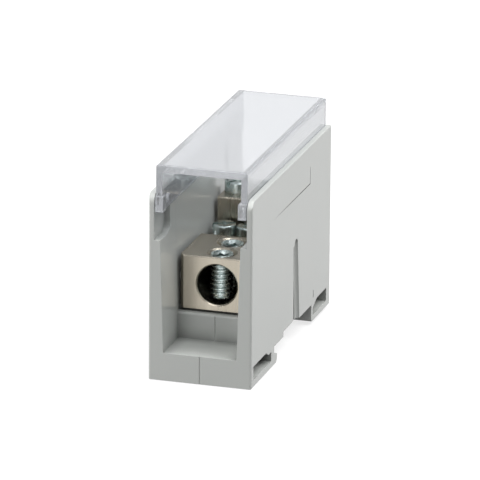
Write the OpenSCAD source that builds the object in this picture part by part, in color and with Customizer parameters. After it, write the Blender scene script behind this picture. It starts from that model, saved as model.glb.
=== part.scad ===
// Power distribution block for a 35 mm mounting rail, with a hinged clear cover.
// X runs along the rail, Y from the front to the rear, Z up. The origin is at the middle of the base.
// Sizes along Y are given from the front face, and the whole part is then centred.

/* [Housing] */
// Width of the housing along the rail
body_w = 29; // [28:0.5:40]
// Depth of the housing from the front face to the rear face
body_d = 75.3; // [74:0.1:90]
// Height of the side walls
body_h = 52.7; // [52:0.1:56]
// Thickness of the side walls at the height of the cover's ledge
wall_t = 2.55; // [2:0.05:3]
// Lean of the inner wall faces
wall_draft = 1.6; // [0:0.1:2]
// Extra wall thickness at the front and rear openings
frame_rib = 0.5; // [0.2:0.1:0.8]
// Depth of the wire recess at the front
recess_d = 13.7; // [12:0.1:15]
// Height of the floor of the wire recesses
recess_z = 7.8; // [7.4:0.1:9]
// Thickness of the cross walls
cross_t = 2.2; // [1.6:0.1:2.6]
// Height of the cross walls in front of and behind the conductor block
cross_z = 15.2; // [13:0.1:15.8]
// Round on the cross walls' upper edges at the wire recesses
cross_r = 0.7; // [0.3:0.1:1.2]
// Height of the hidden floor under the conductor block
chamber_z = 8.8; // [8.2:0.1:10]
// Edge break along the joint of the two half shells
joint_break = 0.2; // [0.05:0.01:0.4]
// Round on the upright outer edges
edge_r = 0.6; // [0.3:0.1:1.2]
// Round on the upper outer edges
top_r = 0.4; // [0.3:0.1:1.4]
// Round on the upper front corners of the side walls
front_r = 3; // [1:0.1:4]
// Round on the lower outer edges
base_r = 0.3; // [0.2:0.1:0.8]

/* [Rail foot] */
// Distance from the front face to the front edge of the rail
rail_y = 21.5; // [20:0.1:23]
// Width of the mounting rail
rail_w = 35; // [34.5:0.1:35.5]
// Play of the rail between the hook and the rear foot
rail_play = 0.5; // [0.2:0.1:1]
// Height of the rail seat above the base
seat_z = 5.3; // [5:0.1:6]
// Length of the rail seat
seat_l = 8.7; // [6:0.1:10]
// Height of the underside behind the rail seat
relief_z = 6.8; // [6.2:0.1:7.2]
// Height of the groove that takes the rail's edge
groove_h = 1.7; // [1.3:0.1:2]
// Reach of the fixed hook under the rail
hook_l = 2.7; // [2:0.1:4]
// Drop of the hook's upper face towards its tip
hook_drop = 1.1; // [0.4:0.1:1.2]
// Round on the lower edge of the fixed hook
hook_r = 2; // [1:0.1:2.1]
// Height of the underside of the flexing leg
leg_z = 5.9; // [5.5:0.1:6.6]
// Height of the underside of the rear foot
foot_z = 0.9; // [0:0.1:1.2]
// Round on the lower rear edge of the rear foot
foot_r = 1.4; // [1:0.1:3]
// Reach of the snap nose on the rear foot
nose_l = 1; // [0.6:0.1:1.5]
// Width of the snap nose
nose_w = 18; // [10:0.5:20]
// Lead-in bevel under the rear foot
foot_bevel = 0.6; // [0.3:0.1:1]

/* [Foot pockets] */
// Thickness of the web between the two side pockets of a foot
web_t = 3; // [2:0.2:6]
// Height of the side pockets
foot_pocket_h = 3.85; // [3:0.05:4.2]
// Wall left under and before the pocket of the front foot
front_wall_t = 2; // [1.4:0.1:2.2]
// Wall left between that pocket and the rail
rail_wall_t = 2.75; // [2:0.05:4]
// Drop of that pocket's ceiling near the rail
ceiling_drop = 1.25; // [0.5:0.05:2]
// Length of the lowered ceiling
ceiling_l = 2.7; // [1:0.1:4]
// Length of the slope up from the lowered ceiling
ceiling_slope_l = 2.1; // [1:0.1:4]
// Wall left under and before the pocket of the rear foot
foot_wall_t = 1.6; // [1.2:0.1:2]
// Wall left behind that pocket
rear_wall_t = 3.7; // [3:0.1:5]
// Length of the sloped corner of that pocket
corner_l = 3.8; // [2:0.1:5]
// Height of the sloped corner of that pocket
corner_h = 1.7; // [1:0.1:2.5]
// Height of the small nick over the rear foot
nick_z = 7.5; // [7:0.1:9]
// Length of that nick
nick_l = 2.2; // [1:0.1:4]
// Width of that nick
nick_w = 0.4; // [0.2:0.1:0.8]
// Depth of that nick
nick_t = 0.2; // [0.1:0.05:0.4]

/* [Leg slot] */
// Distance from the front face to the rounded top of the slot
slot_y = 41; // [40:0.1:43]
// Height of the rounded top of the slot
slot_z = 29; // [26:0.1:32]
// Width of the slot
slot_w = 1.4; // [1:0.1:4.4]
// Lean of the slot
slot_lean = 5.5; // [3:0.1:7]
// Length of the curved run-in in front of the slot
ramp_l = 5; // [2:0.1:8]
// Depth of the curved run-in at the leg's underside
ramp_t = 0.8; // [0.4:0.1:1.2]
// Depth of the curved run-in at the top of the slot
ramp_top_t = 0.4; // [0.2:0.05:0.4]
// Width of the round hollow along the leg's front edge
scoop_w = 1.5; // [1:0.1:2]
// Depth of that hollow
scoop_t = 1; // [0.6:0.1:1.2]
// Step at the round upper end of that hollow
scoop_step = 0.05; // [0.02:0.01:0.1]

/* [Cover] */
// Height of the top of the cover above the base
cover_z = 60.5; // [59:0.1:66]
// Thickness of the top plate
plate_t = 2.2; // [1.6:0.1:2.6]
// Thickness of the side skirts
skirt_t = 1.8; // [1.4:0.1:2.4]
// Round on the upper edges of the cover
cover_r = 0.8; // [0.4:0.1:1.8]
// Round on the upper edges at the cover's ends
end_r = 0.6; // [0.3:0.1:1.4]
// Clearance between the cover and the housing
cover_gap = 0.2; // [0.1:0.05:0.4]
// Thickness of the thin rim beside the cover
rim_t = 1.5; // [1.2:0.05:1.8]
// Height of the ledge under the cover's skirts
ledge_z = 47.2; // [46:0.1:48]
// Distance from the lugs' front faces to the front edge of the top plate
lug_l = 1.1; // [0.6:0.1:2]
// Height of the lugs at the front lower corners
lug_h = 4.3; // [4:0.1:5]
// Width of the lugs
lug_w = 2.2; // [1.6:0.1:3]
// Length of the lugs from front to rear
lug_d = 2.6; // [2.2:0.1:4]
// Step from the outer face of a skirt to its lug
lug_inset = 0.15; // [0.05:0.05:0.5]
// Distance from the front face to the hinge axis
hinge_y = 5.2; // [5:0.1:5.5]
// Height of the hinge axis above the ledge
hinge_h = 2.9; // [2.8:0.1:3.4]
// Diameter of the hinge pins
hinge_pin_d = 3.4; // [3:0.1:4]
// Length of the hinge pins inside the rim
hinge_pin_l = 0.7; // [0.4:0.1:0.9]
// Diameter of the boss inside the skirt at each hinge pin
hinge_boss_d = 2.6; // [2:0.1:3.6]
// Length of that boss
hinge_boss_l = 0.9; // [0.5:0.1:1.5]
// Radial clearance of the hinge pins
hinge_gap = 0.05; // [0.02:0.01:0.1]
// Depth of the pocket that clears the lugs as the cover opens
pocket_d = 9.2; // [9:0.1:10]
// Height of the floor of that pocket
pocket_z = 39.5; // [38:0.1:42]
// Round in the lower corner of that pocket
pocket_r = 3; // [1:0.1:3.5]

/* [Conductor block] */
// Height of the underside of the block
block_z = 16; // [15.9:0.1:18]
// Gap between the block and the side walls at the block's underside
block_gap = 0.6; // [0.4:0.1:1.5]
// Gap between the block's ends and the recess walls
block_setback = 1.5; // [0.5:0.1:2.5]
// Length of the low step that takes the supply wire
low_l = 19.8; // [19:0.1:22]
// Height of the low step
low_h = 15.1; // [14.8:0.1:18]
// Length of the valley with the lower screw row
valley_l = 14.4; // [13.5:0.1:16]
// Height of the valley floor
valley_h = 12.2; // [11:0.1:13.5]
// Length of the tall step with the upper screw row
tall_l = 10.7; // [9.5:0.1:12]
// Height of the tall step
tall_h = 21.2; // [20.5:0.1:24]
// Bevel on the block's edges
block_bevel = 0.35; // [0.1:0.05:0.5]
// Diameter of the supply wire bore
supply_d = 11.4; // [10:0.1:12]
// Height of the supply wire bore above the block's underside
supply_h = 7.3; // [7:0.1:8]
// Depth of the supply wire bore
supply_l = 18.6; // [18:0.1:18.8]
// Diameter of the outgoing wire bores
out_d = 5.4; // [5.1:0.1:5.6]
// Height of the lower outgoing bores above the block's underside
lower_h = 5; // [4:0.1:6]
// Height of the upper outgoing bores above the block's underside
upper_h = 14.2; // [13:0.1:15]
// Wall left past a row's screws at the blind end of its bores
blind_l = 1.6; // [1:0.1:2]
// Spacing of the screws and bores across the block
row_pitch = 6.9; // [6.8:0.05:7.1]
// Distance from the front of the valley to the lower screw row
lower_row = 9.4; // [8:0.1:10]
// Distance from the front of the tall step to the upper screw row
upper_row = 6.3; // [4.6:0.1:6.4]

/* [Screws] */
// Thread diameter of the supply screws
supply_screw_d = 6.3; // [6:0.1:8]
// Bevel at the mouths of the supply screws' holes
supply_mouth = 1; // [0.3:0.1:1.2]
// Diameter of the supply screws' points
supply_point_d = 5.2; // [4:0.1:6]
// Depth of the supply screws below the top of the low step
supply_sink = 0.1; // [0:0.1:1]
// Distance from the block's front to the front supply screw
supply_screw_y = 4.8; // [4.6:0.1:5.2]
// Distance between the two supply screws
supply_pitch = 9.4; // [8.8:0.1:9.6]
// Width across the flats of the driving sockets
socket_af = 3.2; // [3:0.1:4.2]
// Depth of the driving sockets
socket_l = 4; // [3:0.1:5]
// Width of the flat ring round the dished end
ring_w = 0.4; // [0.3:0.1:1]
// Depth of the dished end
dish_t = 1; // [0.3:0.1:1.2]
// Head diameter of the outgoing screws
head_d = 6.6; // [6:0.1:6.6]
// Head height of the outgoing screws
head_h = 3.2; // [2.5:0.1:4]
// Round on the head's upper edge
head_r = 0.5; // [0.2:0.1:1]
// Thread diameter of the outgoing screws
thread_d = 5; // [4:0.1:5]
// Diameter of the outgoing screws' points
point_d = 3; // [2:0.1:3.4]
// Length of the outgoing screws' points
point_l = 1; // [0.6:0.1:1.4]
// Gap between a tightened screw's point and the wall of its bore
tip_gap = 0.35; // [0.2:0.05:1]
// Width of the driving slots
drive_w = 1.2; // [0.8:0.1:1.4]
// Depth of the driving slots
drive_t = 1.6; // [1:0.1:2]
// Length of the cross slot
cross_l = 3.8; // [2:0.1:5]
// Radial clearance of the threads in their holes
thread_gap = 0.05; // [0.02:0.01:0.1]
// Bevel at the mouths of the outgoing screws' holes
mouth_bevel = 0.3; // [0.1:0.05:0.4]

/* [Fastening] */
// Diameter of the pegs that hold the block
peg_d = 4; // [3:0.1:5]
// Depth of the pegs in the block
peg_l = 1.8; // [1:0.1:2.2]
// Height of the pegs above the block's underside
peg_h = 7.7; // [5:0.1:9]
// Distance from the block's front to the first peg
peg_y = 4.8; // [3.5:0.1:6]
// Distance between the two pegs
peg_pitch = 11.5; // [9:0.1:12]
// Radial clearance of pegs and joint pins
peg_gap = 0.08; // [0.03:0.01:0.15]
// Diameter of the pins that line up the half shells
pin_d = 3; // [2:0.1:3.4]
// Length of the joint pins
pin_l = 3; // [2:0.1:4]
// Diameter of the bosses round the joint pins
boss_d = 6; // [5:0.1:6.2]
// Thickness of the pad under the block
pad_t = 2; // [1.5:0.1:3]

/* [Side groove] */
// Depth of the L-shaped groove in the outer face at its rear corner
line_t = 0.35; // [0.2:0.05:0.6]
// Width of the groove
line_w = 0.3; // [0.2:0.05:0.6]
// Distance from the front face to the front end of the groove
line_y = 18.7; // [15:0.1:25]
// Length of the groove
line_l = 36.1; // [30:0.1:40]
// Height of the groove's lower leg
line_z = 41.6; // [40:0.1:43]
// Height of the groove's upright leg
line_h = 5; // [3:0.1:6]

/* [Hidden] */
$fn = 64;

shell_grey = "#C3C5C2";
cover_clear = [0.86, 0.88, 0.9, 0.35];
nickel = "#B8AE9E";
zinc = "#8E9AA0";

half_w = body_w / 2;
over = 1;

// Rail foot
foot_y = rail_y + rail_w + rail_play;
hook_y = rail_y + hook_l;
step_y = rail_y + seat_l;
lip_z = seat_z - groove_h;

// Housing sections: the inner wall face leans inwards towards the floor
lean = tan(wall_draft);
function inner_x(z, rib) = half_w - wall_t - rib - (ledge_z - z) * lean;
rim_x = half_w - rim_t;

// Conductor block
block_y = recess_d + block_setback;
valley_y = block_y + low_l;
tall_y = valley_y + valley_l;
block_end = tall_y + tall_l;
block_half = inner_x(block_z, 0) - block_gap;
low_top = block_z + low_h;
valley_top = block_z + valley_h;
tall_top = block_z + tall_h;
supply_z = block_z + supply_h;
lower_z = block_z + lower_h;
upper_z = block_z + upper_h;
lower_y = valley_y + lower_row;
upper_y = tall_y + upper_row;
screw_y = block_y + supply_screw_y;
rear_recess_y = block_end + block_setback;

// Screws reach down into their bores until the rim of the point is tip_gap from the bore's wall
thread_r = thread_d / 2;
point_r = point_d / 2;
supply_point_r = supply_point_d / 2;
function drop(bore_d, r) = sqrt(pow(bore_d / 2, 2) - r * r) - tip_gap;
supply_screw_l = low_top - supply_sink - supply_z + drop(supply_d, supply_point_r);
lower_screw_l = valley_top - lower_z + drop(out_d, point_r);
upper_screw_l = tall_top - upper_z + drop(out_d, point_r);

// Cover and hinge
skirt_x = rim_x - cover_gap;
skirt_z = ledge_z + cover_gap;
hinge_z = ledge_z + hinge_h;

// Cross walls beside the leg slot, taken at the level of the hidden floor
slot_drop = slot_z - slot_w / 2;
function slot_mid(z) = slot_y + (slot_drop - z) * tan(slot_lean);
front_wall_y = slot_mid(block_z) - slot_w / 2 - cross_t;
leg_wall_y = slot_mid(leg_z) + slot_w / 2 + cross_t;
pad_y = block_y + cross_t + pad_t / 2;
boss_z = (chamber_z + cross_z) / 2;
front_boss_y = (pad_y + pad_t + front_wall_y) / 2;
rear_boss_y = (leg_wall_y + rear_recess_y - cross_t) / 2;

module centred() {
    translate([0, -body_d / 2, 0])
        children();
}

// Extrudes an outline drawn in Y and Z along X
module along_x(from, to) {
    translate([from, 0, 0])
        rotate([90, 0, 90])
            linear_extrude(to - from)
                children();
}

// Extrudes an outline drawn in X and Z along Y
module along_y(from, to) {
    translate([0, to, 0])
        rotate([90, 0, 0])
            linear_extrude(to - from)
                children();
}

module rounded_square(w, h, r) {
    union() {
        translate([r, 0])
            square([w - 2 * r, h]);
        translate([0, r])
            square([w, h - 2 * r]);
        for (x = [r, w - r], y = [r, h - r])
            translate([x, y])
                circle(r);
    }
}

// What a round of radius r takes off a corner at the origin, with the metal at negative x and positive y
module corner_cut(r) {
    difference() {
        translate([-r, -over])
            square([r + over, r + over]);
        translate([-r, r])
            circle(r);
    }
}

module slot_outline() {
    translate([slot_y, slot_drop])
        rotate(slot_lean) {
            circle(slot_w / 2);
            translate([-slot_w / 2, -slot_z - over])
                square([slot_w, slot_z + over]);
        }
}

// Side view of the housing: feet, rail gap, hook and leg slot
module side_outline() {
    difference() {
        square([body_d, body_h]);
        translate([hook_y, -over])
            square([body_d - hook_y + over, foot_z + over]);
        translate([hook_y, -over])
            square([foot_y - hook_y, seat_z + over]);
        translate([rail_y, lip_z])
            square([foot_y - rail_y, groove_h]);
        translate([rail_y, lip_z])
            polygon([[0, 0], [hook_l, -hook_drop], [hook_l + over, -hook_drop], [hook_l + over, 0]]);
        translate([step_y, seat_z - over])
            square([slot_mid(relief_z) - step_y, relief_z - seat_z + over]);
        translate([slot_mid(leg_z), seat_z - over])
            square([foot_y - slot_mid(leg_z), leg_z - seat_z + over]);
        translate([0, body_h])
            rotate(180)
                corner_cut(front_r);
        translate([hook_y, 0])
            corner_cut(hook_r);
        translate([body_d, foot_z])
            corner_cut(foot_r);
        translate([foot_y, foot_z])
            polygon([
                [-over, -over], [foot_bevel, -over], [foot_bevel, 0],
                [0, foot_bevel], [-over, foot_bevel]
            ]);
        slot_outline();
    }
}

// Front view of one half of the housing, with its upper and lower outer edges rounded
module half_front_outline() {
    difference() {
        square([half_w, body_h]);
        translate([half_w, 0])
            corner_cut(base_r);
        translate([half_w, body_h])
            mirror([0, 1])
                corner_cut(top_r);
    }
}

// Section of the open inside of one half, from a floor up past the rim
module inside_outline(floor_z, rib) {
    polygon([
        [-over, floor_z], [inner_x(floor_z, rib), floor_z], [inner_x(ledge_z, rib), ledge_z],
        [rim_x, ledge_z], [rim_x, body_h + over], [-over, body_h + over]
    ]);
}

// The part of that section that lies under the cross walls' tops
module low_inside_outline(floor_z, rib) {
    intersection() {
        inside_outline(floor_z, rib);
        translate([-over, floor_z])
            square([half_w, cross_z - floor_z + over]);
    }
}

// Side pocket of the front foot, with a lower ceiling near the rail
module front_foot_pocket() {
    rear = rail_y - rail_wall_t;
    top = front_wall_t + foot_pocket_h;
    step = top - ceiling_drop;
    polygon([
        [front_wall_t, front_wall_t], [rear, front_wall_t], [rear, step], [rear - ceiling_l, step],
        [rear - ceiling_l - ceiling_slope_l, top], [front_wall_t, top]
    ]);
}

// Side pocket of the rear foot, with a sloped upper corner at the front
module rear_foot_pocket() {
    front = foot_y + foot_wall_t;
    rear = body_d - rear_wall_t;
    low = foot_z + foot_wall_t;
    top = low + foot_pocket_h;
    polygon([[front, low], [rear, low], [rear, top], [front + corner_l, top], [front, top - corner_h]]);
}

// Curved run-in that leads into the leg slot from the front, shallower towards the slot's top
module slot_ramp() {
    ramp_r = (ramp_l * ramp_l + ramp_t * ramp_t) / (2 * ramp_t);
    ramp_tilt = atan((ramp_t - ramp_top_t) / (slot_drop - leg_z));
    translate([half_w, slot_y, slot_drop])
        rotate([slot_lean, 0, 0])
            rotate([0, ramp_tilt, 0])
                translate([ramp_t - ramp_top_t, -slot_w / 2, -slot_z - over])
                    linear_extrude(slot_z + over)
                        difference() {
                            translate([-ramp_t, -ramp_l])
                                square([ramp_t + over, ramp_l + slot_w / 2]);
                            translate([-ramp_r, -ramp_l])
                                circle(ramp_r, $fn = 180);
                        }
}

// Round hollow along the leg's front edge, with a round upper end
module slot_scoop() {
    scoop_r = (scoop_w * scoop_w + scoop_t * scoop_t) / (2 * scoop_t);
    translate([half_w + scoop_r - scoop_t, slot_y, slot_drop])
        rotate([slot_lean, 0, 0])
            translate([0, slot_w / 2, 0]) {
                sphere(scoop_r - scoop_step);
                translate([0, 0, -slot_z - over])
                    cylinder(h = slot_z + over, r = scoop_r);
            }
}

// L-shaped groove in the outer face, with a lower leg that runs out towards the front
module side_groove() {
    translate([half_w, line_y, line_z]) {
        linear_extrude(line_w)
            polygon([[0, 0], [over, 0], [over, line_l], [-line_t, line_l]]);
        translate([-line_t, line_l - line_w, 0])
            cube([line_t + over, line_w, line_h]);
    }
}

// Small nick over the front of the rear foot
module foot_nick() {
    translate([half_w - nick_t, foot_y + foot_wall_t, nick_z])
        cube([nick_t + over, nick_w, nick_l]);
}

module snap_nose() {
    low = foot_z + foot_bevel;
    along_x(0, nose_w / 2)
        polygon([
            [foot_y + over, low], [foot_y, low], [foot_y - nose_l, lip_z - nose_l / 2],
            [foot_y - nose_l, lip_z], [foot_y + over, lip_z]
        ]);
}

// Bevels an upright edge where the two half shells meet, on a wall that faces the front or the rear
module joint_bevel(y, from_z, to_rear) {
    reach = joint_break + over;
    translate([0, y, from_z])
        mirror([0, to_rear, 0])
            linear_extrude(body_h)
                polygon([[-over, -over], [reach, -over], [-over, reach]]);
}

// Rounds the upper edge of a cross wall towards the front or the rear
module cross_round(y, to_rear) {
    translate([0, y, 0])
        mirror([0, to_rear, 0])
            intersection() {
                along_x(-over, half_w)
                    translate([0, cross_z])
                        rotate(180)
                            corner_cut(cross_r);
                along_y(-over, cross_r + over)
                    inside_outline(cross_z - cross_r - over, frame_rib);
            }
}

// One half shell on the +X side, without the parts that differ from left to right
module half_shell() {
    difference() {
        union() {
            difference() {
                intersection() {
                    along_x(0, half_w)
                        side_outline();
                    along_y(0, body_d)
                        half_front_outline();
                    translate([-half_w, 0, 0])
                        linear_extrude(body_h)
                            rounded_square(body_w, body_d, edge_r);
                }
                // open inside above the cross walls, thicker at both openings
                along_y(-over, body_d + over)
                    inside_outline(cross_z, frame_rib);
                along_y(recess_d, rear_recess_y)
                    inside_outline(cross_z, 0);
                // wire recesses and the hidden chambers between the cross walls
                along_y(-over, recess_d)
                    low_inside_outline(recess_z, frame_rib);
                along_y(rear_recess_y, body_d + over)
                    low_inside_outline(recess_z, frame_rib);
                along_y(recess_d + cross_t, front_wall_y)
                    low_inside_outline(chamber_z, 0);
                along_y(leg_wall_y, rear_recess_y - cross_t)
                    low_inside_outline(chamber_z, 0);
                cross_round(recess_d, 0);
                cross_round(rear_recess_y, 1);
                // swing pocket for the cover's lug
                translate([0, 0, pocket_z])
                    along_x(inner_x(pocket_z, frame_rib) - over, rim_x)
                        difference() {
                            translate([-over, 0])
                                square([pocket_d + over, ledge_z - pocket_z + over]);
                            translate([pocket_d, 0])
                                corner_cut(pocket_r);
                        }
                // side pockets of the feet
                along_x(web_t / 2, half_w + over)
                    front_foot_pocket();
                along_x(web_t / 2, half_w + over)
                    rear_foot_pocket();
                slot_ramp();
                slot_scoop();
                side_groove();
                foot_nick();
            }
            snap_nose();
            block_rests();
            joint_boss(front_boss_y);
            joint_boss(rear_boss_y);
        }
        joint_bevel(0, -over, 0);
        joint_bevel(recess_d, recess_z, 0);
        joint_bevel(rear_recess_y, recess_z, 1);
        joint_bevel(body_d, -over, 1);
        translate([rim_x - over, hinge_y, hinge_z])
            rotate([0, 90, 0])
                cylinder(h = over + hinge_pin_l + cover_gap / 2, r = hinge_pin_d / 2 + hinge_gap);
    }
}

// Pads under the conductor block and the pegs in its sides
module block_rests() {
    for (y = [pad_y - pad_t / 2, front_wall_y])
        translate([0, y, chamber_z - over])
            cube([inner_x(block_z, 0) + over, pad_t, block_z - chamber_z + over]);
    for (y = [peg_y, peg_y + peg_pitch])
        translate([block_half - peg_l, block_y + y, block_z + peg_h])
            rotate([0, 90, 0])
                cylinder(h = half_w - wall_t / 2 - block_half + peg_l, d = peg_d);
}

module joint_boss(y) {
    translate([0, y, boss_z])
        rotate([0, 90, 0])
            cylinder(h = inner_x(boss_z, 0) + over, d = boss_d);
}

module joint_pin(y, r, l) {
    translate([-over, y, boss_z])
        rotate([0, 90, 0])
            cylinder(h = l + over, r = r);
}

module left_shell() {
    color(shell_grey)
        centred()
            mirror([1, 0, 0])
                difference() {
                    half_shell();
                    for (y = [front_boss_y, rear_boss_y])
                        joint_pin(y, pin_d / 2 + peg_gap, pin_l + peg_gap);
                }
}

module right_shell() {
    color(shell_grey)
        centred() {
            half_shell();
            for (y = [front_boss_y, rear_boss_y])
                mirror([1, 0, 0])
                    joint_pin(y, pin_d / 2, pin_l);
        }
}

// Front view of the cover: a plate with two skirts
module cover_outline() {
    difference() {
        translate([-skirt_x, skirt_z])
            square([2 * skirt_x, cover_z - skirt_z]);
        translate([-skirt_x + skirt_t, skirt_z - over])
            square([2 * (skirt_x - skirt_t), cover_z - plate_t - skirt_z + over]);
        for (side = [0, 1])
            mirror([side, 0])
                translate([skirt_x, cover_z])
                    mirror([0, 1])
                        corner_cut(cover_r);
    }
}

// Lug at the front lower corner of a skirt
module cover_lug() {
    translate([skirt_x - lug_inset - lug_w, 0, skirt_z])
        cube([lug_w, lug_d, lug_h]);
}

// Hinge pin on the outer face of a skirt, with a smaller boss on the inner face
module hinge_pin() {
    translate([skirt_x - skirt_t / 2, hinge_y, hinge_z])
        rotate([0, 90, 0]) {
            cylinder(h = skirt_t / 2 + cover_gap + hinge_pin_l, d = hinge_pin_d);
            translate([0, 0, -skirt_t / 2 - hinge_boss_l])
                cylinder(h = skirt_t / 2 + hinge_boss_l, d = hinge_boss_d);
        }
}

module clear_cover() {
    color(cover_clear)
        centred() {
            difference() {
                along_y(lug_l, body_d)
                    cover_outline();
                along_x(-half_w, half_w) {
                    translate([lug_l, cover_z])
                        rotate(180)
                            corner_cut(end_r);
                    translate([body_d, cover_z])
                        mirror([0, 1])
                            corner_cut(end_r);
                }
            }
            for (side = [0, 1])
                mirror([side, 0, 0]) {
                    cover_lug();
                    hinge_pin();
                }
        }
}

// Side view of the conductor block, with bevelled upper edges
module block_outline() {
    b = block_bevel;
    polygon([
        [block_y, block_z], [block_end, block_z], [block_end, tall_top - b], [block_end - b, tall_top],
        [tall_y + b, tall_top], [tall_y, tall_top - b], [tall_y, valley_top], [valley_y, valley_top],
        [valley_y, low_top - b], [valley_y - b, low_top], [block_y + b, low_top], [block_y, low_top - b]
    ]);
}

module block_bars() {
    b = block_bevel;
    intersection() {
        along_x(-block_half, block_half)
            block_outline();
        translate([0, 0, block_z - over])
            linear_extrude(tall_h + 2 * over)
                polygon([
                    [-block_half + b, block_y], [block_half - b, block_y], [block_half, block_y + b],
                    [block_half, block_end - b], [block_half - b, block_end], [-block_half + b, block_end],
                    [-block_half, block_end - b], [-block_half, block_y + b]
                ]);
    }
}

// Wire bore along Y from an end face, with a bevelled mouth
module wire_bore(d, l) {
    rotate([-90, 0, 0]) {
        translate([0, 0, -over])
            cylinder(h = l + over, d = d);
        translate([0, 0, -over])
            cylinder(h = over + block_bevel, r1 = d / 2 + block_bevel + over, r2 = d / 2);
    }
}

// Threaded hole down from z_top, with a bevelled mouth
module thread_hole(d, z_top, z_low, mouth) {
    r = d / 2 + thread_gap;
    translate([0, 0, z_low])
        cylinder(h = z_top - z_low + over, r = r);
    translate([0, 0, z_top - mouth])
        cylinder(h = mouth + over, r1 = r, r2 = r + mouth + over);
}

module conductor_block() {
    lower_bore_l = block_end - lower_y + thread_r + blind_l;
    upper_bore_l = block_end - upper_y + thread_r + blind_l;
    color(nickel)
        centred()
            difference() {
                block_bars();
                translate([0, block_y, supply_z])
                    wire_bore(supply_d, supply_l);
                for (y = [screw_y, screw_y + supply_pitch])
                    translate([0, y, 0])
                        thread_hole(supply_screw_d, low_top, supply_z, supply_mouth);
                for (i = [-1 : 1]) {
                    translate([i * row_pitch, block_end, lower_z])
                        mirror([0, 1, 0])
                            wire_bore(out_d, lower_bore_l);
                    translate([i * row_pitch, block_end, upper_z])
                        mirror([0, 1, 0])
                            wire_bore(out_d, upper_bore_l);
                    translate([i * row_pitch, lower_y, 0])
                        thread_hole(thread_d, valley_top, lower_z, mouth_bevel);
                    translate([i * row_pitch, upper_y, 0])
                        thread_hole(thread_d, tall_top, upper_z, mouth_bevel);
                }
                for (side = [0, 1], y = [peg_y, peg_y + peg_pitch])
                    mirror([side, 0, 0])
                        translate([block_half - peg_l - peg_gap, block_y + y, block_z + peg_h])
                            rotate([0, 90, 0])
                                cylinder(h = peg_l + over, d = peg_d + 2 * peg_gap);
            }
}

// Socket set screw with a dished end and a bevelled point
module supply_screw(y) {
    r = supply_screw_d / 2;
    l = supply_screw_l;
    socket_r = socket_af / sqrt(3);
    color(zinc)
        centred()
            translate([0, y, low_top - supply_sink - l])
                difference() {
                    rotate_extrude()
                        polygon([
                            [0, 0], [supply_point_r, 0], [r, r - supply_point_r], [r, l], [r - ring_w, l],
                            [socket_r, l - dish_t], [0, l - dish_t]
                        ]);
                    translate([0, 0, l - socket_l])
                        cylinder(h = socket_l, r = socket_r, $fn = 6);
                }
}

module supply_screw_front() {
    supply_screw(screw_y);
}

module supply_screw_rear() {
    supply_screw(screw_y + supply_pitch);
}

// Cheese-head screw with a slot and a shorter cross slot, standing on its seat at z
module outgoing_screw(i, y, z, l) {
    cone = thread_r - point_r;
    color(zinc)
        centred()
            translate([i * row_pitch, y, z])
                difference() {
                    rotate_extrude()
                        polygon([
                            [0, -l], [point_r, -l], [point_r, point_l - l], [thread_r, point_l + cone - l],
                            [thread_r, 0], [head_d / 2, 0], [head_d / 2, head_h - head_r],
                            [head_d / 2 - head_r, head_h], [0, head_h]
                        ]);
                    translate([-head_d, -drive_w / 2, head_h - drive_t])
                        cube([2 * head_d, drive_w, drive_t + over]);
                    translate([-drive_w / 2, -cross_l / 2, head_h - drive_t])
                        cube([drive_w, cross_l, drive_t + over]);
                }
}

module lower_screw_left() {
    outgoing_screw(-1, lower_y, valley_top, lower_screw_l);
}

module lower_screw_middle() {
    outgoing_screw(0, lower_y, valley_top, lower_screw_l);
}

module lower_screw_right() {
    outgoing_screw(1, lower_y, valley_top, lower_screw_l);
}

module upper_screw_left() {
    outgoing_screw(-1, upper_y, tall_top, upper_screw_l);
}

module upper_screw_middle() {
    outgoing_screw(0, upper_y, tall_top, upper_screw_l);
}

module upper_screw_right() {
    outgoing_screw(1, upper_y, tall_top, upper_screw_l);
}

left_shell();
right_shell();
clear_cover();
conductor_block();
supply_screw_front();
supply_screw_rear();
lower_screw_left();
lower_screw_middle();
lower_screw_right();
upper_screw_left();
upper_screw_middle();
upper_screw_right();
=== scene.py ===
# Power distribution block: the looks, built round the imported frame. Metres throughout.
import math

import bmesh
import bpy
from mathutils import Matrix, Vector


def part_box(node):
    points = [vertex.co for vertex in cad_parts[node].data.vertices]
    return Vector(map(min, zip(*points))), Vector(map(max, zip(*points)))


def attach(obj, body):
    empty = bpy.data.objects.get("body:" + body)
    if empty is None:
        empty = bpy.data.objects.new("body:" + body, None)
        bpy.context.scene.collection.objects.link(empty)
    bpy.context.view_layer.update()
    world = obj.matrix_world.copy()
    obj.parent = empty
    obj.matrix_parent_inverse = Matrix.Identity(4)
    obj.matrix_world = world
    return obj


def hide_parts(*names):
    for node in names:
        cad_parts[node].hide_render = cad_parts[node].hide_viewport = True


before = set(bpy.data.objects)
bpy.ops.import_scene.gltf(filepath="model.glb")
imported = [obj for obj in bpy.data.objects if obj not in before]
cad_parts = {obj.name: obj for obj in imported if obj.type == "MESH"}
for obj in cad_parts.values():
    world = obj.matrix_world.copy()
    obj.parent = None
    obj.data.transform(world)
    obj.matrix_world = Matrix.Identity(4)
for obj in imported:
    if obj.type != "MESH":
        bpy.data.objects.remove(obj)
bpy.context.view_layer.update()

mm = 0.001
mixFactor, mixFirst, mixSecond, mixOut = 0, 6, 7, 2    # sockets of a Mix node that is set to colours
cornerSamples, edgeSamples = 6, 4
scene = bpy.context.scene
print("frame loaded with", len(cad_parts), "nodes")


# sRGB hex to linear RGBA
def linear(hexColour):
    parts = [int(hexColour[i:i + 2], 16) / 255 for i in (1, 3, 5)]
    return [c / 12.92 if c <= 0.04045 else ((c + 0.055) / 1.055) ** 2.4 for c in parts] + [1.0]


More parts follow.
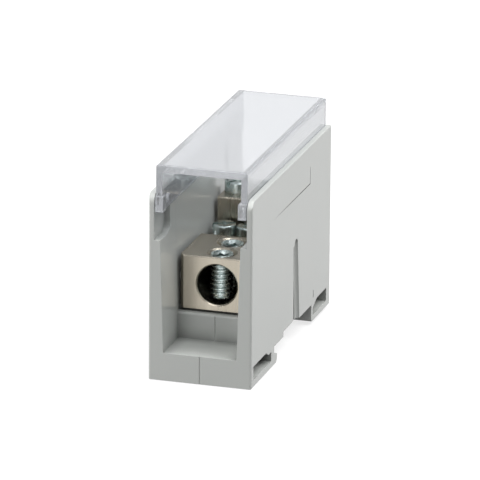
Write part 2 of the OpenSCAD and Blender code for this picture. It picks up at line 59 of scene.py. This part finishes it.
# adds one node with its settings, its socket values and its links
def addNode(tree, kind, values={}, links={}, **settings):
    node = tree.nodes.new(kind)
    for name, value in settings.items():
        setattr(node, name, value)
    for socket, value in values.items():
        node.inputs[socket].default_value = value
    for socket, source in links.items():
        tree.links.new(source, node.inputs[socket])
    return node


def newMaterial(name):
    material = bpy.data.materials.new(name)
    material.use_nodes = True
    tree = material.node_tree
    tree.nodes.clear()
    place = addNode(tree, "ShaderNodeTexCoord").outputs["Object"]
    return material, tree, place


# Polyamide, light grey, moulded in a spark-eroded tool: an even satin face with a soft, broad sheen,
# a grain too fine to count, slow flow shading, edges that are never quite sharp and painted shade in the
# corners.
def mouldedPolyamide():
    look = {
        "colour": "#B6B8B5", "flowColour": "#B2B5B2",
        "ior": 1.53, "roughness": 0.22, "roughnessSpread": 0.04,
        "grain": 0.35,   # mm, the eroded grain is nearer 0.05 and is drawn coarser so that it shows
        "grainDepth": 0.002, "grainStrength": 0.35,
        "flow": 18.0,    # mm, width of the flow shading
        "edge": 0.15,    # mm, the radius that the tool leaves on every edge
        "cornerShadeColour": "#5C5E5B", "corner": 4.0,    # mm, how far the painted shade of a corner reaches
    }
    material, tree, place = newMaterial("polyamideMouldedSatin")
    flow = addNode(tree, "ShaderNodeTexNoise", {"Scale": 1 / (look["flow"] * mm), "Detail": 2.0},
                   {"Vector": place})
    grain = addNode(tree, "ShaderNodeTexNoise", {"Scale": 1 / (look["grain"] * mm), "Detail": 3.0},
                    {"Vector": place})
    tone = addNode(tree, "ShaderNodeMix", {
        mixFirst: linear(look["colour"]), mixSecond: linear(look["flowColour"])},
        {mixFactor: flow.outputs["Fac"]}, data_type="RGBA")
    # painted shade: the colour darkens towards the corner shade colour in corners and narrow hollows, where
    # the part shades itself
    corner = addNode(tree, "ShaderNodeAmbientOcclusion", {"Distance": look["corner"] * mm},
                     samples=cornerSamples, only_local=True)
    shadedTone = addNode(tree, "ShaderNodeMix", {mixFirst: linear(look["cornerShadeColour"])},
                     {mixFactor: corner.outputs["AO"], mixSecond: tone.outputs[mixOut]}, data_type="RGBA")
    edge = addNode(tree, "ShaderNodeBevel", {"Radius": look["edge"] * mm}, samples=edgeSamples)
    satin = addNode(tree, "ShaderNodeMapRange", {
        "To Min": look["roughness"] - look["roughnessSpread"],
        "To Max": look["roughness"] + look["roughnessSpread"]}, {"Value": grain.outputs["Fac"]})
    bump = addNode(tree, "ShaderNodeBump", {
        "Strength": look["grainStrength"], "Distance": look["grainDepth"] * mm},
        {"Height": grain.outputs["Fac"], "Normal": edge.outputs["Normal"]})
    shader = addNode(tree, "ShaderNodeBsdfPrincipled", {"IOR": look["ior"]}, {
        "Base Color": shadedTone.outputs[mixOut], "Roughness": satin.outputs["Result"],
        "Normal": bump.outputs["Normal"]})
    addNode(tree, "ShaderNodeOutputMaterial", links={"Surface": shader.outputs[0]})
    return material


# Polycarbonate, clear, moulded in a polished tool: glassy faces with a slight haze, cool grey where one
# looks along a wall, and a light shadow below it.
def clearPolycarbonate():
    look = {
        "colour": "#CFD1D4", "ior": 1.585, "roughness": 0.05, "clearness": 0.72,
        "shade": "#DFE0E2",    # what one face lets through of the light that falls inside
        "wave": 14.0,          # mm, width of the slow waves in the faces
        "waveDepth": 0.01, "waveStrength": 0.3,
    }
    material, tree, place = newMaterial("polycarbonateMouldedClear")
    wave = addNode(tree, "ShaderNodeTexNoise", {"Scale": 1 / (look["wave"] * mm), "Detail": 1.0},
                   {"Vector": place})
    bump = addNode(tree, "ShaderNodeBump", {
        "Strength": look["waveStrength"], "Distance": look["waveDepth"] * mm},
        {"Height": wave.outputs["Fac"]})
    glassy = addNode(tree, "ShaderNodeBsdfPrincipled", {
        "Base Color": linear(look["colour"]), "IOR": look["ior"], "Roughness": look["roughness"],
        "Transmission Weight": look["clearness"]}, {"Normal": bump.outputs["Normal"]})
    shade = addNode(tree, "ShaderNodeBsdfTransparent", {"Color": linear(look["shade"])})
    path = addNode(tree, "ShaderNodeLightPath")
    lit = addNode(tree, "ShaderNodeMath", links={
        0: path.outputs["Is Shadow Ray"], 1: path.outputs["Is Diffuse Ray"]}, operation="MAXIMUM")
    shader = addNode(tree, "ShaderNodeMixShader", links={
        0: lit.outputs[0], 1: glassy.outputs[0], 2: shade.outputs[0]})
    addNode(tree, "ShaderNodeOutputMaterial", links={"Surface": shader.outputs[0]})
    return material


# Brass bar, extruded, milled and nickel plated: a warm grey metal with soft upright bands, and painted
# shade that turns the bores nearly black.
def nickelPlatedBrass():
    look = {
        "colour": "#BFB8A9", "lineColour": "#A69E90", "roughness": 0.26, "roughnessSpread": 0.05,
        "line": 1.8,         # mm, width of the soft bands that milling leaves
        "lineLength": 40.0,  # mm
        "lineDepth": 0.002, "lineStrength": 0.4,
        "edge": 0.12,        # mm
        "boreShadeColour": "#2A261F", "bore": 12.0,    # mm, how far the painted shade of a bore reaches
        "boreStart": 0.62, "boreFull": 0.36,      # openness at which the painted shade starts, and is darkest
    }
    material, tree, place = newMaterial("brassNickelPlated")
    streak = addNode(tree, "ShaderNodeMapping", {
        "Scale": (1 / (look["line"] * mm), 1 / (look["lineLength"] * mm), 1 / (look["lineLength"] * mm))},
        {"Vector": place})
    lines = addNode(tree, "ShaderNodeTexNoise", {"Scale": 1.0, "Detail": 3.0},
                    {"Vector": streak.outputs["Vector"]})
    tone = addNode(tree, "ShaderNodeMix", {
        mixFirst: linear(look["colour"]), mixSecond: linear(look["lineColour"])},
        {mixFactor: lines.outputs["Fac"]}, data_type="RGBA")
    # painted shade: deep in the bores the colour turns nearly black, where they lie in shade
    bore = addNode(tree, "ShaderNodeAmbientOcclusion", {"Distance": look["bore"] * mm},
                   samples=cornerSamples, only_local=True)
    shadeMask = addNode(tree, "ShaderNodeMapRange", {
        "From Min": look["boreFull"], "From Max": look["boreStart"]}, {"Value": bore.outputs["AO"]})
    shadedTone = addNode(tree, "ShaderNodeMix", {mixFirst: linear(look["boreShadeColour"])},
                     {mixFactor: shadeMask.outputs["Result"], mixSecond: tone.outputs[mixOut]}, data_type="RGBA")
    edge = addNode(tree, "ShaderNodeBevel", {"Radius": look["edge"] * mm}, samples=edgeSamples)
    satin = addNode(tree, "ShaderNodeMapRange", {
        "To Min": look["roughness"] - look["roughnessSpread"],
        "To Max": look["roughness"] + look["roughnessSpread"]}, {"Value": lines.outputs["Fac"]})
    bump = addNode(tree, "ShaderNodeBump", {
        "Strength": look["lineStrength"], "Distance": look["lineDepth"] * mm},
        {"Height": lines.outputs["Fac"], "Normal": edge.outputs["Normal"]})
    shader = addNode(tree, "ShaderNodeBsdfPrincipled", {"Metallic": 1.0}, {
        "Base Color": shadedTone.outputs[mixOut], "Roughness": satin.outputs["Result"],
        "Normal": bump.outputs["Normal"]})
    addNode(tree, "ShaderNodeOutputMaterial", links={"Surface": shader.outputs[0]})
    return material


# Steel, zinc plated and blue passivated: a cool, clouded metal. Cold heading leaves dents that break up
# what a head mirrors, and thread rolling leaves the set screws even and satin, with painted shade in their
# recesses.
def zincPlatedSteel(name, roughness, dentDepth, pocketColour):
    look = {
        "colour": "#E0E5E3", "cloudColour": "#B4C6C5", "roughnessSpread": 0.08,
        "cloud": 1.2,    # mm, size of the plating's clouds
        "dent": 0.7,     # mm, width of the dents
        "dentStrength": 0.5,
        "pocket": 3.0,   # mm, how far the painted shade of a recess or a thread's root reaches
        "pocketStart": 0.6, "pocketFull": 0.25,    # openness, as in the bores
    }
    material, tree, place = newMaterial(name)
    cloud = addNode(tree, "ShaderNodeTexNoise", {"Scale": 1 / (look["cloud"] * mm), "Detail": 4.0},
                    {"Vector": place})
    dent = addNode(tree, "ShaderNodeTexNoise", {"Scale": 1 / (look["dent"] * mm), "Detail": 2.0},
                   {"Vector": place})
    tone = addNode(tree, "ShaderNodeMix", {
        mixFirst: linear(look["colour"]), mixSecond: linear(look["cloudColour"])},
        {mixFactor: cloud.outputs["Fac"]}, data_type="RGBA")
    # painted shade: sockets and thread roots are darkened, where they lie in shade
    pocket = addNode(tree, "ShaderNodeAmbientOcclusion", {"Distance": look["pocket"] * mm},
                     samples=cornerSamples, only_local=True)
    shadeMask = addNode(tree, "ShaderNodeMapRange", {
        "From Min": look["pocketFull"], "From Max": look["pocketStart"]}, {"Value": pocket.outputs["AO"]})
    shadedTone = addNode(tree, "ShaderNodeMix", {mixFirst: linear(pocketColour)},
                     {mixFactor: shadeMask.outputs["Result"], mixSecond: tone.outputs[mixOut]}, data_type="RGBA")
    satin = addNode(tree, "ShaderNodeMapRange", {
        "To Min": roughness - look["roughnessSpread"], "To Max": roughness + look["roughnessSpread"]},
        {"Value": cloud.outputs["Fac"]})
    bump = addNode(tree, "ShaderNodeBump", {"Strength": look["dentStrength"], "Distance": dentDepth * mm},
                   {"Height": dent.outputs["Fac"]})
    shader = addNode(tree, "ShaderNodeBsdfPrincipled", {"Metallic": 1.0}, {
        "Base Color": shadedTone.outputs[mixOut], "Roughness": satin.outputs["Result"],
        "Normal": bump.outputs["Normal"]})
    addNode(tree, "ShaderNodeOutputMaterial", links={"Surface": shader.outputs[0]})
    return material


polyamide = mouldedPolyamide()
polycarbonate = clearPolycarbonate()
nickelBrass = nickelPlatedBrass()
# the heads are given their own colour as shade colour, so the painted shade shows only on the set screws
headedSteel = zincPlatedSteel("steelColdHeadedZincPlated", roughness=0.24, dentDepth=0.12,
                              pocketColour="#E0E5E3")
rolledSteel = zincPlatedSteel("steelThreadRolledZincPlated", roughness=0.27, dentDepth=0.02,
                              pocketColour="#1E2422")
print("materials made")


def addPiece(name, mesh, material, body, node):
    piece = bpy.data.objects.new(name, mesh)
    scene.collection.objects.link(piece)
    mesh.materials.clear()
    mesh.materials.append(material)
    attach(piece, body)
    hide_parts(node)
    return piece


# lower_screw_left becomes lowerScrewLeft
def pieceName(node):
    first, *others = node.split("_")
    return first + "".join(word.capitalize() for word in others)


# turns a finished bmesh into a smooth mesh with its creases kept sharp
def closeMesh(work, label, sharpAngle):
    bmesh.ops.recalc_face_normals(work, faces=work.faces)
    mesh = bpy.data.meshes.new(label)
    work.to_mesh(mesh)
    work.free()
    mesh.shade_smooth()
    mesh.set_sharp_from_angle(angle=math.radians(sharpAngle))
    return mesh


weldLook = {"gap": 0.0005, "flat": 0.2, "crease": 28}    # mm, degrees, degrees


# a welded copy of a CAD node with flat faces joined up, cut off outside each plane in cuts
def weldedCopy(node, label, cuts=()):
    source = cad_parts[node].data
    work = bmesh.new()
    corners = [work.verts.new(v.co) for v in source.vertices]
    for polygon in source.polygons:
        work.faces.new([corners[i] for i in polygon.vertices])
    bmesh.ops.remove_doubles(work, verts=work.verts, dist=weldLook["gap"] * mm)
    bmesh.ops.dissolve_limit(work, angle_limit=math.radians(weldLook["flat"]),
                             verts=work.verts, edges=work.edges)
    for point, outward in cuts:
        whole = work.verts[:] + work.edges[:] + work.faces[:]
        cut = bmesh.ops.bisect_plane(work, geom=whole, plane_co=point, plane_no=outward,
                                     clear_outer=True)
        rim = [e for e in cut["geom_cut"] if isinstance(e, bmesh.types.BMEdge)]
        bmesh.ops.contextual_create(work, geom=rim)
    return closeMesh(work, label, weldLook["crease"])


# flat faces keep their own direction beside a shallow curve
def evenFaces(piece):
    weighted = piece.modifiers.new("even faces", "WEIGHTED_NORMAL")
    weighted.keep_sharp = True
    weighted.weight = 100    # large faces win outright


def roundEdges(piece, look):
    bevel = piece.modifiers.new("rounded edges", "BEVEL")
    bevel.width = look["edge"] * mm
    bevel.segments = look["segments"]
    bevel.limit_method = "ANGLE"
    bevel.angle_limit = math.radians(look["angle"])
    bevel.use_clamp_overlap = False
    bevel.miter_outer = "MITER_ARC"


for side in ("left", "right"):
    evenFaces(addPiece(side + "HalfShell", weldedCopy(side + "_shell", side + "HalfShell"),
                       polyamide, "housing", side + "_shell"))
print("half shells made")

coverLook = {"edge": 0.05, "segments": 2, "angle": 28}
cover = addPiece("clearCover", weldedCopy("clear_cover", "clearCover"),
                 polycarbonate, "cover", "clear_cover")
roundEdges(cover, coverLook)
evenFaces(cover)
print("clear cover made")

# the bar's upright corners are milled off
barLook = {"corner": 1.0}
low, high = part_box("conductor_block")
barCorners = [((x - across * barLook["corner"] * mm, y, 0), (across, along, 0))
              for x, across in ((low.x, -1), (high.x, 1)) for y, along in ((low.y, -1), (high.y, 1))]
evenFaces(addPiece("conductorBar", weldedCopy("conductor_block", "conductorBar", barCorners),
                   nickelBrass, "housing", "conductor_block"))
print("conductor bar made")


# skins a list of closed rings of points, with a point at each end
def loft(work, rings, start, end):
    rows = [[work.verts.new(p) for p in ring] for ring in rings]
    count = len(rows[0])
    for low, high in zip(rows, rows[1:]):
        for i in range(count):
            j = (i + 1) % count
            work.faces.new((low[i], low[j], high[j], high[i]))
    first, last = work.verts.new(start), work.verts.new(end)
    for i in range(count):
        j = (i + 1) % count
        work.faces.new((rows[0][j], rows[0][i], first))
        work.faces.new((rows[-1][i], rows[-1][j], last))


threadLook = {"crest": 0.12, "flank": 0.7}    # shares of half a pitch


# radius of a screw thread at a height and an angle, with flat crests and rounded roots
def threadRadius(height, angle, outer, pitch, depth):
    phase = (height / pitch - angle / math.tau) % 1.0
    climb = min(1.0, max(0.0, (abs(2 * phase - 1) - threadLook["crest"]) / threadLook["flank"]))
    return outer - depth * climb * climb * (3 - 2 * climb)


supplyLook = {
    "columns": 48, "pitch": 1.3, "threadDepth": 0.65, "rowsPerPitch": 10,
    "pointRadius": 2.6, "topBevel": 0.15, "ringInner": 2.75, "dishDepth": 1.0,
    "socketWidth": 4.0, "socketDepth": 4.0, "socketCone": 0.8, "crease": 32,
}


def supplyScrew(node, turn):
    look = supplyLook
    low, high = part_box(node)
    x, y = (low.x + high.x) / 2, (low.y + high.y) / 2
    outer = (high.x - low.x) / 2 / mm
    length = (high.z - low.z) / mm
    angles = [math.tau * i / look["columns"] for i in range(look["columns"])]

    def ring(radius, height):
        return [(x + radius(a) * math.cos(a + turn) * mm, y + radius(a) * math.sin(a + turn) * mm,
                 low.z + height(a) * mm) for a in angles]

    rings = [ring(lambda a: look["pointRadius"], lambda a: 0)]
    rows = int(length / look["pitch"] * look["rowsPerPitch"])
    for k in range(1, rows):
        z = length * k / rows
        limit = min(look["pointRadius"] + z, outer - look["topBevel"] + (length - z), outer)
        rings.append(ring(lambda a: min(limit, threadRadius(z, a, outer, look["pitch"],
                                                            look["threadDepth"])), lambda a: z))
    rings.append(ring(lambda a: outer - look["topBevel"], lambda a: length))
    rings.append(ring(lambda a: look["ringInner"], lambda a: length))

    # the hexagon runs out on the dish, so its edge is scalloped
    def hexRadius(a):
        return look["socketWidth"] / 2 / math.cos((a % (math.pi / 3)) - math.pi / 6)

    def dishDrop(a):
        dishWidth = look["ringInner"] - look["socketWidth"] / 2
        return length - look["dishDepth"] * (look["ringInner"] - hexRadius(a)) / dishWidth

    rings.append(ring(hexRadius, dishDrop))
    floor = length - look["socketDepth"]
    rings.append(ring(hexRadius, lambda a: floor))
    work = bmesh.new()
    loft(work, rings, (x, y, low.z), (x, y, low.z + (floor - look["socketCone"]) * mm))
    return closeMesh(work, node, look["crease"])


for node, turn in (("supply_screw_front", 0.0), ("supply_screw_rear", 30.0)):
    addPiece(pieceName(node), supplyScrew(node, math.radians(turn)), rolledSteel, node, node)
print("supply screws made")

outgoingLook = {
    "columns": 48, "pitch": 0.8, "threadDepth": 0.42, "rowsPerPitch": 8, "threadRadius": 2.5,
    "pointRadius": 1.5, "pointLength": 1.0, "headHeight": 3.2, "headRound": 0.5, "roundSteps": 5,
    "slotWidth": 1.2, "slotDepth": 1.6, "crossLength": 3.8, "crossWidth": 1.0, "edge": 0.08,
    "crease": 32,
}


def outgoingScrew(node, turn):
    look = outgoingLook
    low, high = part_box(node)
    x, y = (low.x + high.x) / 2, (low.y + high.y) / 2
    headRadius = (high.x - low.x) / 2 / mm
    seat = (high.z - low.z) / mm - look["headHeight"]
    angles = [math.tau * i / look["columns"] for i in range(look["columns"])]

    def ring(radius, height):
        return [(radius(a) * math.cos(a), radius(a) * math.sin(a), height) for a in angles]

    point, top = look["pointRadius"], seat + look["headHeight"]
    rings = [ring(lambda a: point, 0), ring(lambda a: point, look["pointLength"])]
    rows = int((seat - look["pointLength"]) / look["pitch"] * look["rowsPerPitch"])
    for k in range(1, rows):
        z = look["pointLength"] + (seat - look["pointLength"]) * k / rows
        limit = min(point + (z - look["pointLength"]), look["threadRadius"])
        rings.append(ring(lambda a: min(limit, threadRadius(z, a, look["threadRadius"], look["pitch"],
                                                            look["threadDepth"])), z))
    rings.append(ring(lambda a: look["threadRadius"], seat))
    rings.append(ring(lambda a: headRadius - look["edge"], seat))
    rings.append(ring(lambda a: headRadius, seat + look["edge"]))
    for k in range(look["roundSteps"] + 1):
        swing = math.pi / 2 * k / look["roundSteps"]
        drop = look["headRound"] * (1 - math.sin(swing))
        inset = look["headRound"] * (1 - math.cos(swing))
        rings.append(ring(lambda a: headRadius - inset, top - drop))
    work = bmesh.new()
    loft(work, rings, (0, 0, 0), (0, 0, top))
    body = bpy.data.objects.new("screwBlank", closeMesh(work, "screwBlank", look["crease"]))
    cutters = bmesh.new()
    for size in ((3 * headRadius, look["slotWidth"]), (look["crossWidth"], look["crossLength"])):
        bmesh.ops.create_cube(cutters, size=1.0, matrix=Matrix.Translation((0, 0, top)) @ Matrix.Diagonal(
            (size[0], size[1], 2 * look["slotDepth"], 1)))
    slots = bpy.data.objects.new("screwSlots", closeMesh(cutters, "screwSlots", look["crease"]))
    for made in (body, slots):
        scene.collection.objects.link(made)
    cut = body.modifiers.new("driving slots", "BOOLEAN")
    cut.object = slots
    cut.solver = "EXACT"
    cut.use_self = True
    bpy.context.view_layer.update()
    mesh = bpy.data.meshes.new_from_object(body.evaluated_get(bpy.context.evaluated_depsgraph_get()))
    for made in (body, slots):
        bpy.data.objects.remove(made)
    mesh.transform(Matrix.Translation((x, y, low.z)) @ Matrix.Rotation(turn, 4, "Z")
                   @ Matrix.Scale(mm, 4))
    mesh.shade_smooth()
    mesh.set_sharp_from_angle(angle=math.radians(look["crease"]))
    mesh.name = node
    return mesh


screwTurns = {"lower_screw_left": 24, "lower_screw_middle": -38, "lower_screw_right": 70,
              "upper_screw_left": 62, "upper_screw_middle": -15, "upper_screw_right": 40}
for node, turn in screwTurns.items():
    addPiece(pieceName(node), outgoingScrew(node, math.radians(turn)), headedSteel, node, node)
print("outgoing screws made")

# camera at the photograph's viewing angle: a long lens from the front right, looking down
cameraLook = {"focal": 461.59, "sensor": 36.0, "aim": (-0.363, 0.0, 29.242), "distance": 1682.51,
              "yaw": 16.947, "pitch": 17.91, "roll": 0.412, "near": 50.0}    # mm and degrees
turned = (Matrix.Rotation(math.radians(cameraLook["yaw"]), 4, "Z")
          @ Matrix.Rotation(math.radians(90 - cameraLook["pitch"]), 4, "X")
          @ Matrix.Rotation(math.radians(cameraLook["roll"]), 4, "Z"))
lens = bpy.data.cameras.new("photographCamera")
lens.lens = cameraLook["focal"]
lens.sensor_width = cameraLook["sensor"]
lens.clip_start = cameraLook["near"] * mm
camera = bpy.data.objects.new("photographCamera", lens)
back = turned.to_3x3() @ Vector((0, 0, 1))
stand = (Vector(cameraLook["aim"]) + back * cameraLook["distance"]) * mm
camera.matrix_world = Matrix.Translation(stand) @ turned
scene.collection.objects.link(camera)
scene.camera = camera

# a white sweep and a soft sky, brightest overhead, with soft boxes on each side
lightLook = {
    "horizon": 0.22, "zenith": 0.72, "surround": 0.85,
    "floorColour": "#F8F8F8", "bounceColour": "#404040", "floorGlow": 0.75,
    "floorSize": 6.0,    # m
    "floorDrop": 0.2,    # mm below the object
    "bounces": 32, "clearBounces": 24,
}
white = (1, 1, 1, 1)
floorMesh = bpy.data.meshes.new("floor")
half = lightLook["floorSize"] / 2
floorMesh.from_pydata([(-half, -half, 0), (half, -half, 0), (half, half, 0), (-half, half, 0)],
                      [], [(0, 1, 2, 3)])
floor = bpy.data.objects.new("floor", floorMesh)
floor.location.z = -lightLook["floorDrop"] * mm
scene.collection.objects.link(floor)
# matt white paper, which throws only a little light back up on the object
paper, paperTree, _ = newMaterial("paperWhiteSweep")
path = addNode(paperTree, "ShaderNodeLightPath")
paperFace = addNode(paperTree, "ShaderNodeBsdfDiffuse", {"Color": linear(lightLook["floorColour"])})
glow = addNode(paperTree, "ShaderNodeEmission", {"Color": white})
seen = addNode(paperTree, "ShaderNodeMixShader", {0: lightLook["floorGlow"]},
               {1: paperFace.outputs[0], 2: glow.outputs[0]})
bounce = addNode(paperTree, "ShaderNodeBsdfDiffuse", {"Color": linear(lightLook["bounceColour"])})
paperShader = addNode(paperTree, "ShaderNodeMixShader", links={
    0: path.outputs["Is Diffuse Ray"], 1: seen.outputs[0], 2: bounce.outputs[0]})
addNode(paperTree, "ShaderNodeOutputMaterial", links={"Surface": paperShader.outputs[0]})
paper.cycles.emission_sampling = "NONE"
floorMesh.materials.append(paper)

world = bpy.data.worlds.new("studio")
scene.world = world
world.use_nodes = True
world.node_tree.nodes.clear()
studio = world.node_tree
towards = addNode(studio, "ShaderNodeSeparateXYZ", links={
    "Vector": addNode(studio, "ShaderNodeTexCoord").outputs["Generated"]})
rise = addNode(studio, "ShaderNodeMapRange", {"To Min": lightLook["horizon"], "To Max": lightLook["zenith"]},
               {"Value": towards.outputs["Z"]})
sky = addNode(studio, "ShaderNodeBackground", {"Color": white}, {"Strength": rise.outputs["Result"]})
# the eye, mirror images and clear plastic see the white walls of the tent
walls = addNode(studio, "ShaderNodeBackground", {"Color": white, "Strength": lightLook["surround"]})
ray = addNode(studio, "ShaderNodeLightPath")
mirrored = addNode(studio, "ShaderNodeMath", links={
    0: ray.outputs["Is Camera Ray"], 1: ray.outputs["Is Glossy Ray"]}, operation="MAXIMUM")
direct = addNode(studio, "ShaderNodeMath", links={
    0: mirrored.outputs[0], 1: ray.outputs["Is Transmission Ray"]}, operation="MAXIMUM")
tent = addNode(studio, "ShaderNodeMixShader", links={
    0: direct.outputs[0], 1: sky.outputs[0], 2: walls.outputs[0]})
addNode(studio, "ShaderNodeOutputWorld", links={"Surface": tent.outputs[0]})

softBoxes = {
    "rightBox": {"at": (0.72, -0.02, 1.19), "size": 0.9, "power": 20.5},
    "leftBox": {"at": (-1.15, -0.60, 0.60), "size": 0.9, "power": 17.0},
    "frontBox": {"at": (-0.10, -0.80, 1.15), "size": 0.9, "power": 5.0},
    "backBox": {"at": (-0.50, 1.10, 0.35), "size": 0.6, "power": 7.0},
}
boxAim = Vector((0, 0, 0.03))
for name, box in softBoxes.items():
    light = bpy.data.lights.new(name, "AREA")
    light.shape = "SQUARE"
    light.size = box["size"]
    light.energy = box["power"]
    lamp = bpy.data.objects.new(name, light)
    lamp.location = box["at"]
    lamp.rotation_euler = (boxAim - Vector(box["at"])).to_track_quat("-Z", "Y").to_euler()
    # the fill behind leaves no glare on the cover or in it
    lamp.visible_glossy = lamp.visible_transmission = name != "backBox"
    scene.collection.objects.link(lamp)
# enough bounces for light to run along inside the clear cover
scene.cycles.max_bounces = lightLook["bounces"]
scene.cycles.glossy_bounces = scene.cycles.transmission_bounces = lightLook["clearBounces"]
scene.view_settings.view_transform = "Standard"
print("camera, floor and lights made")
